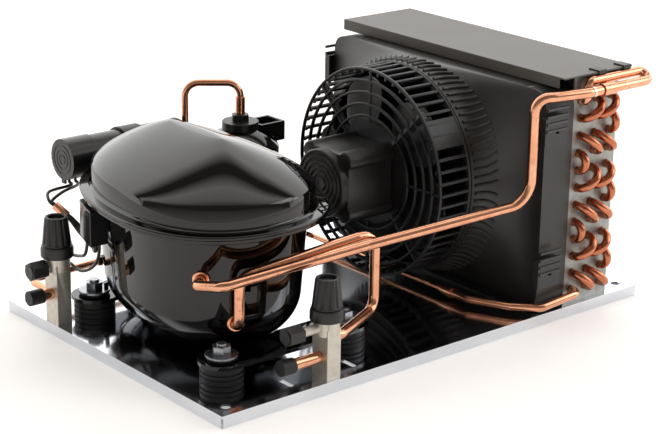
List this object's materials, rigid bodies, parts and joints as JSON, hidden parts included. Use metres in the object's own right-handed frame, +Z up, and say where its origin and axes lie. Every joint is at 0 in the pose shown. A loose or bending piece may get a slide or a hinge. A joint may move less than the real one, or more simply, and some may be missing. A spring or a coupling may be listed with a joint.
{
  "type": "condensing unit",
  "caption": "Air-cooled condensing unit on a sheet tray: sealed compressor, ducted fan, finned condenser, receiver and service valves joined by copper pipe.",
  "frame": {"origin": "middle of the tray's footprint, at its underside, between the four corner holes", "axes": "+X along the tray towards the condenser, +Y across it away from the service side, +Z up"},
  "size_m": [0.47, 0.32, 0.2117],
  "materials": {
    "tray_steel": "polished stainless sheet",
    "zinc_steel": "bright zinc plated",
    "rubber": "matt moulded",
    "black_shell": "gloss black enamel",
    "black_sheet": "satin black powder coat",
    "black_plastic": "fine grained",
    "gloss_plastic": "moulded",
    "nickel": "nickel plated brass",
    "copper": "drawn copper tube",
    "aluminium": "thin fin stock",
    "cover_sheet": "satin dark coat",
    "iron": "machined casting",
    "lamination": "stacked laminations",
    "ceramic": "moulded"
  },
  "bodies": {
    "unit": {"base_plate": "tray_steel", "foot_studs": "zinc_steel", "foot_nuts": "zinc_steel", "foot_sleeves": "zinc_steel", "foot_grommets": "rubber", "foot_washers": "zinc_steel", "foot_plates": "black_shell", "lower_shell": "black_shell", "upper_shell": "black_shell", "pipe_collars": "copper", "shell_tabs": "black_shell", "terminal_block": "ceramic", "start_relay": "ceramic", "compressor_frame": "iron", "cylinder_head": "iron", "compressor_stator": "lamination", "piston": "iron", "frame_springs": "zinc_steel", "capacitor": "gloss_plastic", "capacitor_cover": "black_plastic", "capacitor_bracket": "black_sheet", "capacitor_leads": "rubber", "terminal_leads": "rubber", "lead_ferrule": "copper", "receiver": "black_shell", "receiver_foot": "black_shell", "receiver_fitting": "black_sheet", "receiver_clamp": "black_sheet", "liquid_pipe": "copper", "liquid_valve": "nickel", "suction_valve": "nickel", "valve_stubs": "copper", "suction_pipe": "copper", "discharge_pipe": "copper", "condenser_line": "copper", "pipe_sleeves": "copper", "fin_block": "aluminium", "hairpin_tubes": "copper", "return_bends": "copper", "end_plates": "zinc_steel", "top_cover": "cover_sheet", "cover_clips": "cover_sheet", "shroud": "black_sheet", "shroud_ears": "black_sheet", "fan_guard": "black_plastic", "motor_housing": "gloss_plastic", "motor_stator": "lamination", "unit_screws": "zinc_steel"},
    "fan": {"motor_shaft": "zinc_steel", "fan_blades": "black_plastic"},
    "crank": {"crankshaft": "lamination"},
    "terminal_lid": {"terminal_cover": "gloss_plastic"},
    "liquid_top": {"liquid_cap": "black_plastic"},
    "liquid_stem": {"liquid_spindle": "zinc_steel"},
    "liquid_port": {"liquid_port_cap": "black_plastic"},
    "liquid_end": {"liquid_plug": "rubber"},
    "suction_top": {"suction_cap": "black_plastic"},
    "suction_stem": {"suction_spindle": "zinc_steel"},
    "suction_port": {"suction_port_cap": "black_plastic"},
    "suction_end": {"suction_plug": "rubber"}
  },
  "joints": [
    {"name": "fan_spin", "type": "hinge", "parent": "unit", "child": "fan", "pos_m": [0.05, -0.013, 0.1145], "axis": [1, 0, 0], "continuous": true},
    {"name": "crank_spin", "type": "hinge", "parent": "unit", "child": "crank", "pos_m": [-0.135, 0.004, 0.1], "axis": [0, 0, 1], "continuous": true},
    {"name": "terminal_lid_off", "type": "slide", "parent": "unit", "child": "terminal_lid", "axis": [-1, 0, 0], "range_m": [0, 0.03]},
    {"name": "liquid_cap_off", "type": "slide", "parent": "unit", "child": "liquid_top", "axis": [0, 0, 1], "range_m": [0, 0.04]},
    {"name": "liquid_spindle_lift", "type": "slide", "parent": "unit", "child": "liquid_stem", "axis": [0, 0, 1], "range_m": [0, 0.005]},
    {"name": "liquid_port_cap_off", "type": "slide", "parent": "unit", "child": "liquid_port", "axis": [-1, 0, 0], "range_m": [0, 0.025]},
    {"name": "liquid_plug_off", "type": "slide", "parent": "unit", "child": "liquid_end", "axis": [-1, 0, 0], "range_m": [0, 0.025]},
    {"name": "suction_cap_off", "type": "slide", "parent": "unit", "child": "suction_top", "axis": [0, 0, 1], "range_m": [0, 0.04]},
    {"name": "suction_spindle_lift", "type": "slide", "parent": "unit", "child": "suction_stem", "axis": [0, 0, 1], "range_m": [0, 0.005]},
    {"name": "suction_port_cap_off", "type": "slide", "parent": "unit", "child": "suction_port", "axis": [-1, 0, 0], "range_m": [0, 0.025]},
    {"name": "suction_plug_off", "type": "slide", "parent": "unit", "child": "suction_end", "axis": [-1, 0, 0], "range_m": [0, 0.025]}
  ]
}
